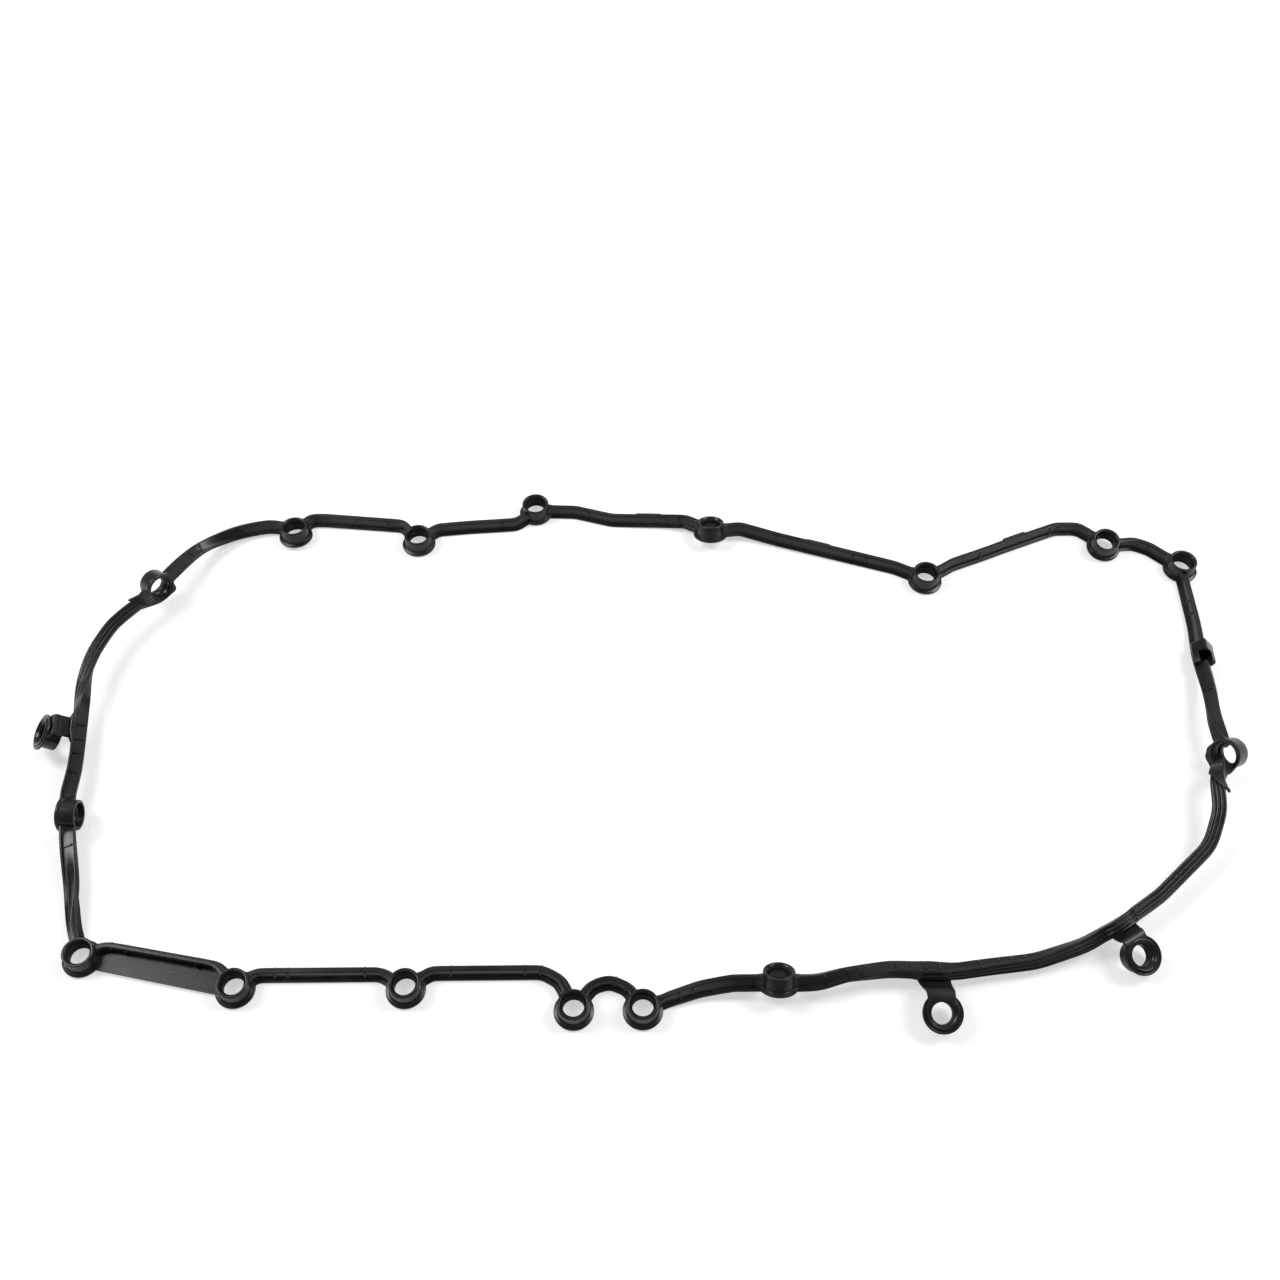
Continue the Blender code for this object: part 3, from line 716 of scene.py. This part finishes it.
def bolt_seat(name):
    """The frame of a bolt's sealing plane."""
    x, y, lift, roll, heading = BOLTS[name]
    direction = Vector((cos(radians(heading)), sin(radians(heading)), 0))
    carried = local_frame(Vector((x, y, lift)), direction, radians(roll))
    return carried @ Matrix.Translation((0, 0, -CARRY))


def arm_parts(route, name):
    """An arm collar's seat, and the arm's root frame, its outward direction, line and widths."""
    bay, bend, bends, collar, along, roll, widths = ARM_COLLARS[name]
    root = route.at(bay, route.bays[bay][2][bend + 1])
    forward = Vector((root.col[0].x, root.col[0].y, 0)).normalized()
    outwards = Vector((forward.y, -forward.x, 0))
    seat = local_frame(root.translation, forward, radians(roll))
    seat.translation += forward * along + outwards * collar[0] + Vector((0, 0, collar[1]))
    end = seat @ ARM_LANDING - root.translation
    line = [(0, 0)] + bends + [(outwards.dot(end), end.z)]
    return seat, root, forward, outwards, along, line, widths


def strip_rings(route, bay, outline):
    """A bay's sections: wide at its ends, swollen over the roots of arms and lowered in the clip's pocket."""
    frames, runs, stations = route.bays[bay]
    roots = [stations[arm[1] + 1] for arm in ARM_COLLARS.values() if arm[0] == bay]
    clip = clip_run(route) if bay == CLIP_PLACE[0] else None
    rings = []
    for i in kept_places(frames, runs, roots if clip is None else roots + [clip]):
        run = runs[i]
        in_pocket = clip is not None and POCKET_RUN[0] < run - clip < POCKET_RUN[1]
        to_end = min(run, runs[-1] - run)
        flare = END_FLARE * max(0, 1 - to_end / FLARE_REACH) ** 2
        swell = sum(ROOT_SWELL * exp(-(((run - root) / SWELL_REACH) ** 4)) for root in roots)
        ring = []
        for across, up, share in outline:
            wider = across + flare * share * (1 if across > 0 else -1)
            if up < SWELL_TOP:
                up -= swell * cos(across * SWELL_BEND)
            if in_pocket:
                up = min(up, POCKET_FLOOR)
            ring.append(frames[i] @ Vector((0, wider, up)))
        rings.append(ring)
    return rings


def cover_rings(route, bay, at_end, edges):
    """A thin cover over the sealing ribs, tucked into them at its collar."""
    runs = route.bays[bay][1]
    distances, lefts, rights = zip(*edges)
    rings = []
    for distance in np.linspace(distances[0], distances[-1], COVER_STEPS):
        left = np.interp(distance, distances, lefts)
        right = np.interp(distance, distances, rights)
        here = route.at(bay, runs[-1] - distance if at_end else distance)
        face = COVER_FACE + COVER_TUCK * max(0, 1 - (distance - distances[0]) / TUCK_REACH)
        slab = [(left, 0.45), (left + 0.2, face), (right - 0.2, face), (right, 0.45)]
        slab += [(right, 0.9), (left, 0.9)]
        rings.append([here @ Vector((0, across, up - CARRY)) for across, up in slab])
    return rings


class GASKET_OT_strip(bpy.types.Operator):
    """Make the ribbed sealing strip, bay by bay, with its twists"""

    bl_idname = "gasket.strip"
    bl_label = "Sealing strip"

    def execute(self, context):
        outline = strip_outline(context.scene.gasket_sizes)
        route = Route()
        shape = Shape()
        for bay in route.bays:
            shape.loft(strip_rings(route, bay, outline))
        for bay, at_end, edges in COVERS:
            shape.loft(cover_rings(route, bay, at_end, edges))
        moulded("sealing_strip", shape, 42)
        return {"FINISHED"}


class GASKET_OT_collars(bpy.types.Operator):
    """Make the bolt collars on the strip and on the arms"""

    bl_idname = "gasket.collars"
    bl_label = "Bolt collars"

    def execute(self, context):
        sizes = context.scene.gasket_sizes
        route = Route()
        shape = Shape()
        for name in BOLTS:
            outline = end_collar_outline(sizes) if name in END_BOLTS else collar_outline(sizes)
            shape.turn(outline, bolt_seat(name), COLLAR_SIDES)
        for name in ARM_COLLARS:
            shape.turn(collar_outline(sizes), arm_parts(route, name)[0], COLLAR_SIDES)
        moulded("bolt_collars", shape, 34)
        return {"FINISHED"}


def drawn_in(outline, middle, inset):
    """An outline with its points moved towards a middle by a distance."""
    out = []
    for point in outline:
        offset = Vector(point) - middle
        out.append(middle + offset * (1 - inset / offset.length))
    return out


def rounded_slab(outline, seat, low, high):
    """Rings of a flat slab with eased edges, from an outline in a frame's plane."""
    middle = sum((Vector(point) for point in outline), Vector((0, 0))) / len(outline)
    levels = ((low, SHEET_EDGE), (low + SHEET_EDGE, 0), (high - SHEET_EDGE, 0), (high, SHEET_EDGE))
    rings = []
    for height, inset in levels:
        rings.append([seat @ Vector((*point, height)) for point in drawn_in(outline, middle, inset)])
    return rings


def curved_line(line, steps=6):
    """A smooth line through a few (outwards, up) points."""
    points = [Vector(line[0])] + [Vector(point) for point in line] + [Vector(line[-1])]
    points[0] = points[1] * 2 - points[2]
    points[-1] = points[-2] * 2 - points[-3]
    out = []
    for a, b, c, d in zip(points, points[1:], points[2:], points[3:]):
        for k in range(steps):
            t = k / steps
            bend = (2 * a - 5 * b + 4 * c - d) * t * t
            out.append(0.5 * (2 * b + (c - a) * t + bend + (3 * b - a - 3 * c + d) * t**3))
    return out + [points[-2]]


def bore_rings(seat, radius, low, high):
    """The two ends of a round cutter along a collar's axis."""
    turns = [2 * pi * k / BORE_SIDES for k in range(BORE_SIDES)]
    circle = [(radius * cos(turn), radius * sin(turn)) for turn in turns]
    return [[seat @ Vector((x, y, z)) for x, y in circle] for z in (low, high)]


def arm_rings(route, name, thick):
    """An arm's sections, from the strip to its collar."""
    _, root, forward, outwards, along, line, widths = arm_parts(route, name)
    smooth_line = curved_line(line)
    last = len(smooth_line) - 1
    rings = []
    for i, (out, up) in enumerate(smooth_line):
        share = i / last
        half_width = (widths[0] * (1 - share) + widths[1] * share) / 2
        half_width += ARM_FLARE * max(0, 1 - share * 4) ** 2
        before, after = smooth_line[max(i - 1, 0)], smooth_line[min(i + 1, last)]
        slope = (after - before).normalized() * thick / 2
        middle = root.translation + forward * along * share
        ring = []
        for side, face in sheet_section(half_width, SHEET_EDGE):
            beside = middle + forward * side
            ring.append(beside + outwards * (out - face * slope.y) + RISE * (up + face * slope.x))
        rings.append(ring)
    return rings


def web_rings(route, thick):
    """The web's two faces: they follow the strip's middle line, and are straight on the outer side."""
    frames, runs, _ = route.bays[WEB_BAY]
    inner = [frames[i].translation.xy for i in kept_places(frames, runs)]
    line = (inner[-1] - inner[0]).normalized()
    outset = Vector((line.y, -line.x)) * WEB_REACH
    outline = inner + [inner[-1] + outset, inner[0] + outset]
    return [[(p.x, p.y, z) for p in outline] for z in (WEB_UNDERSIDE, WEB_UNDERSIDE + thick)]


class GASKET_OT_sheets(bpy.types.Operator):
    """Make the web, the corner plates and the bent arms"""

    bl_idname = "gasket.sheets"
    bl_label = "Web, plates and arms"

    def execute(self, context):
        sizes = context.scene.gasket_sizes
        thick = mm(sizes.sheet_thickness)
        bore = mm(sizes.bore_diameter) / 2 + BORE_CLEARANCE
        route = Route()
        shape = Shape()
        bores = Shape()
        for name, outline in PLATES.items():
            seat = bolt_seat(name)
            shape.loft(rounded_slab(rounded_outline(outline), seat, PLATE_SETBACK, PLATE_SETBACK + thick))
            bores.loft(bore_rings(seat, bore, *PLATE_BORE))
        for name in ARM_COLLARS:
            shape.loft(arm_rings(route, name, thick))
            bores.loft(bore_rings(arm_parts(route, name)[0], bore, *ARM_BORE))
        shape.loft(web_rings(route, thick))
        moulded("web_plates_and_arms", shape, 30, bores, "MANIFOLD")
        return {"FINISHED"}


def rounded_outline(outline, share=0.22, steps=5):
    """An outline with its corners rounded."""
    out = []
    count = len(outline)
    for i in range(count):
        before, corner, after = (Vector(outline[k % count]) for k in (i - 1, i, i + 1))
        start = corner.lerp(before, share)
        end = corner.lerp(after, share)
        for k in range(steps + 1):
            t = k / steps
            out.append(start.lerp(corner, t).lerp(corner.lerp(end, t), t))
    return out


def sheet_section(half_width, edge):
    """A sheet's section as (along, share of the half thickness), with eased edges."""
    inset = half_width - edge
    right = [(inset, -1), (half_width, -0.5), (half_width, 0.5), (inset, 1)]
    return [(-half_width, -0.5), (-inset, -1)] + right + [(-inset, 1), (-half_width, 0.5)]


def rib_rings(here, sizes):
    """The sections, from the lips up, of a small rib that stands off both walls of the blade."""
    root = mm(sizes.blade_width) / 2
    crown = mm(sizes.crown_width) / 2
    height = mm(sizes.strip_height)
    base = mm(sizes.base_thickness)
    levels = ((base, 0.0), (base + 0.5, 1.0), (height - 1.6, 1.0), (height - 0.9, 0.6), (height - 0.5, -0.2))
    rings = []
    for up, share in levels:
        rooted = root + (crown - root) * (up - base) / (height - base) - RIB_ROOT
        reach = mm(sizes.rib_proud) * share + RIB_ROOT
        ring = [(along, -rooted - reach * cover) for along, cover in RIB_SIDE]
        ring += [(along, rooted + reach * cover) for along, cover in reversed(RIB_SIDE)]
        rings.append([here @ Vector((along, across, up - CARRY)) for along, across in ring])
    return rings


def pad_rings(here, blade):
    """The sections of a crush pad, from the blade's middle out, with half the blade's width."""
    outline = rounded_outline(PAD_OUTLINE, 0.12)
    rings = []
    for across, inset in ((0, 0), (-blade - 0.75, 0), (-blade - 1.0, 0.25)):
        eased = drawn_in(outline, PAD_MIDDLE, inset)
        rings.append([here @ Vector((point.x, across, point.y - CARRY)) for point in eased])
    return rings


class GASKET_OT_ribs(bpy.types.Operator):
    """Make the small ribs and the crush pads on the blade"""

    bl_idname = "gasket.ribs"
    bl_label = "Blade ribs and pads"

    def execute(self, context):
        sizes = context.scene.gasket_sizes
        route = Route()
        shape = Shape()
        for bay, places in BLADE_RIBS.items():
            for x, y in places:
                shape.loft(rib_rings(route.beside(bay, x, y), sizes))
        for bay, (x, y) in PADS.items():
            shape.loft(pad_rings(route.beside(bay, x, y), mm(sizes.blade_width) / 2))
        moulded("blade_ribs_and_pads", shape, 34)
        return {"FINISHED"}


class GASKET_OT_clip(bpy.types.Operator):
    """Make the hooded clip on the right end"""

    bl_idname = "gasket.clip"
    bl_label = "Clip"

    def execute(self, context):
        route = Route()
        here = route.at(CLIP_PLACE[0], clip_run(route)) @ Matrix.Rotation(CLIP_TURN, 4, "X")
        foot = CLIP_OUTLINE[0][1]
        height = CLIP_OUTLINE[2][1] - foot
        outline = rounded_outline(CLIP_OUTLINE, 0.16)
        rings = []
        for along, scale, slope in CLIP_SLICES:
            ring = []
            for p in outline:
                up = CLIP_MIDDLE + (p.y - CLIP_MIDDLE) * scale
                ring.append(here @ Vector((along + slope * (p.y - foot) / height, p.x * scale, up)))
            rings.append(ring)
        shape = Shape()
        shape.loft(rings)
        pocket = Shape()
        upright = here @ Matrix.Rotation(SLOT_TURN, 4, "X")
        for seat, outline, ends in (
            (here, rounded_outline(POCKET_OUTLINE, 0.15), POCKET_ENDS),
            (upright, [Vector(point) for point in SLOT_OUTLINE], SLOT_ENDS),
        ):
            pocket.loft([[seat @ Vector((along, p.x, p.y)) for p in outline] for along in ends])
        moulded("clip", shape, 34, pocket)
        return {"FINISHED"}


class Socket:
    """A shader socket that takes part in Python sums."""

    def __init__(self, tree, socket):
        self.tree = tree
        self.socket = socket

    def math(self, operation, *others):
        node = self.tree.nodes.new("ShaderNodeMath")
        node.operation = operation
        for slot, value in zip(node.inputs, others):
            if isinstance(value, Socket):
                self.tree.links.new(value.socket, slot)
            else:
                slot.default_value = value
        return Socket(self.tree, node.outputs[0])

    def __add__(self, other):
        return self.math("ADD", self, other)

    def __sub__(self, other):
        return self.math("SUBTRACT", self, other)

    def __rsub__(self, other):
        return self.math("SUBTRACT", other, self)

    def __mul__(self, other):
        return self.math("MULTIPLY", self, other)

    __radd__ = __add__
    __rmul__ = __mul__


class Shading:
    """A material's or world's nodes."""

    def __init__(self, tree):
        self.tree = tree
        tree.nodes.clear()

    def node(self, kind, settings=None, output=0, in_order=(), **sockets):
        """Any node: its settings are made first, then its sockets, in their order or by their names."""
        made = self.tree.nodes.new(kind)
        for name, value in (settings or {}).items():
            setattr(made, name, value)
        pairs = list(zip(made.inputs, in_order))
        for name, value in sockets.items():
            slot = next(item for item in made.inputs if item.name.replace(" ", "_") == name and item.enabled)
            pairs.append((slot, value))
        for slot, value in pairs:
            if isinstance(value, Socket):
                self.tree.links.new(value.socket, slot)
            else:
                slot.default_value = value
        return Socket(self.tree, made.outputs[output]) if made.outputs else None


def rubber_material():
    """Satin black synthetic rubber with a faint grey bloom and the mould's fine grain."""
    made = bpy.data.materials.get("satin_black_rubber")
    if made:
        return made
    look = bpy.context.scene.rubber_look
    made = bpy.data.materials.new("satin_black_rubber")
    made.use_nodes = True
    shading = Shading(made.node_tree)
    place = shading.node("ShaderNodeTexCoord", output="Object")
    patches, specks, grain = (
        shading.node("ShaderNodeTexNoise", Vector=place, Scale=scale, Detail=detail, Roughness=roughness)
        for scale, detail, roughness in RUBBER_NOISE
    )
    cloud = shading.node("ShaderNodeMapRange", Value=patches, From_Min=0.42, From_Max=0.72)
    dots = shading.node("ShaderNodeMapRange", Value=specks, From_Min=0.6, From_Max=0.8)
    bloom = cloud * 0.45 + dots * 0.35
    colour = shading.node(
        "ShaderNodeMix", {"data_type": "RGBA"}, output=2, Factor=bloom, A=look.rubber[:], B=look.bloom[:]
    )
    rough = cloud * 0.1 + specks * 0.12 + (look.roughness - 0.06)
    relief = grain * 0.6 + specks * 0.4
    bump = shading.node("ShaderNodeBump", Height=relief, Strength=0.35, Distance=look.grain)
    shader = shading.node(
        "ShaderNodeBsdfPrincipled",
        Base_Color=colour,
        Roughness=rough,
        Normal=bump,
        Metallic=0.0,
        IOR=1.5,
        Specular_IOR_Level=look.shine,
    )
    shading.node("ShaderNodeOutputMaterial", Surface=shader)
    return made


def floor_material(studio):
    """Pale floor that stays near white to the camera and keeps the part's shadow."""
    made = bpy.data.materials.new("studio_floor")
    made.use_nodes = True
    shading = Shading(made.node_tree)
    camera = shading.node("ShaderNodeLightPath", output="Is Camera Ray")
    place = shading.node("ShaderNodeTexCoord", output="Object")
    distance = shading.node("ShaderNodeVectorMath", {"operation": "LENGTH"}, output="Value", Vector=place)
    far = shading.node("ShaderNodeMapRange", Value=distance, From_Min=FLOOR_FADE[0], From_Max=FLOOR_FADE[1])
    matte = shading.node("ShaderNodeBsdfDiffuse", Color=studio.floor[:])
    glow = shading.node("ShaderNodeEmission", Color=WHITE, Strength=1.0)
    seen = camera * (far * (1 - studio.floor_glow) + studio.floor_glow)
    mixed = shading.node("ShaderNodeMixShader", in_order=(seen, matte, glow))
    shading.node("ShaderNodeOutputMaterial", Surface=mixed)
    return made


def add_lamps(power):
    """The soft lamps, aimed at the part."""
    for name, (place, width, depth, share) in LAMPS.items():
        lamp = bpy.data.lights.new(name, "AREA")
        lamp.energy = power * share
        lamp.shape = "RECTANGLE"
        lamp.size = width
        lamp.size_y = depth
        holder = new_object(name, lamp)
        holder.location = place
        holder.rotation_euler = (-holder.location).to_track_quat("-Z", "Y").to_euler()


def room(strength):
    """A world that lights the part softly, and is white to the camera and through clear things."""
    world = bpy.data.worlds.new("studio_room")
    world.use_nodes = True
    shading = Shading(world.node_tree)
    camera = shading.node("ShaderNodeLightPath", output="Is Camera Ray")
    through = shading.node("ShaderNodeLightPath", output="Is Transmission Ray")
    lit = shading.node("ShaderNodeBackground", Color=WHITE, Strength=strength)
    white = shading.node("ShaderNodeBackground", Color=WHITE, Strength=1.0)
    mixed = shading.node("ShaderNodeMixShader", in_order=(camera + through, lit, white))
    shading.node("ShaderNodeOutputWorld", Surface=mixed)
    return world


class GASKET_OT_studio(bpy.types.Operator):
    """Make the floor, the soft lamps, the room light and the camera"""

    bl_idname = "gasket.studio"
    bl_label = "Studio"

    def execute(self, context):
        scene = context.scene
        studio = scene.studio_set
        data = bpy.data.meshes.new("floor")
        reach = FLOOR_REACH
        corners = [(-reach, -reach, 0), (reach, -reach, 0), (reach, reach, 0), (-reach, reach, 0)]
        data.from_pydata(corners, [], [(0, 1, 2, 3)])
        data.materials.append(floor_material(studio))
        floor = new_object("floor", data)
        floor.location.z = PART_LOW.z
        add_lamps(studio.lamp_power)
        scene.world = room(studio.sky)
        view = bpy.data.cameras.new("photo_view")
        view.lens = studio.lens
        view.sensor_width = SENSOR
        view.clip_start = NEAREST
        holder = new_object("photo_view", view)
        stand = Vector((0, -studio.camera_distance, studio.camera_height))
        holder.location = stand - LAYOUT_MIDDLE * MILLIMETRE
        holder.rotation_euler = (studio.camera_tilt, 0, 0)
        scene.camera = holder
        scene.view_settings.view_transform = "Standard"
        return {"FINISHED"}


class GASKET_PT_panel(bpy.types.Panel):
    """Lists the steps and the sizes"""

    bl_label = "Oil pan gasket"
    bl_space_type = "VIEW_3D"
    bl_region_type = "UI"
    bl_category = "Gasket"

    def draw(self, context):
        for step in STEPS:
            self.layout.operator(step.bl_idname)
        for group in (context.scene.gasket_sizes, context.scene.rubber_look, context.scene.studio_set):
            column = self.layout.column(align=True)
            for name in group.__annotations__:
                column.prop(group, name)


STEPS = (
    GASKET_OT_strip,
    GASKET_OT_collars,
    GASKET_OT_sheets,
    GASKET_OT_ribs,
    GASKET_OT_clip,
    GASKET_OT_studio,
)
CLASSES = (GasketSizes, RubberLook, StudioSet) + STEPS + (GASKET_PT_panel,)


def register():
    for item in CLASSES:
        bpy.utils.register_class(item)
    bpy.types.Scene.gasket_sizes = PointerProperty(type=GasketSizes)
    bpy.types.Scene.rubber_look = PointerProperty(type=RubberLook)
    bpy.types.Scene.studio_set = PointerProperty(type=StudioSet)


def unregister():
    del bpy.types.Scene.studio_set
    del bpy.types.Scene.rubber_look
    del bpy.types.Scene.gasket_sizes
    for item in reversed(CLASSES):
        bpy.utils.unregister_class(item)


def main():
    register()
    bpy.ops.gasket.strip()
    bpy.ops.gasket.collars()
    bpy.ops.gasket.sheets()
    bpy.ops.gasket.ribs()
    bpy.ops.gasket.clip()
    bpy.ops.gasket.studio()


if __name__ == "__main__":
    main()
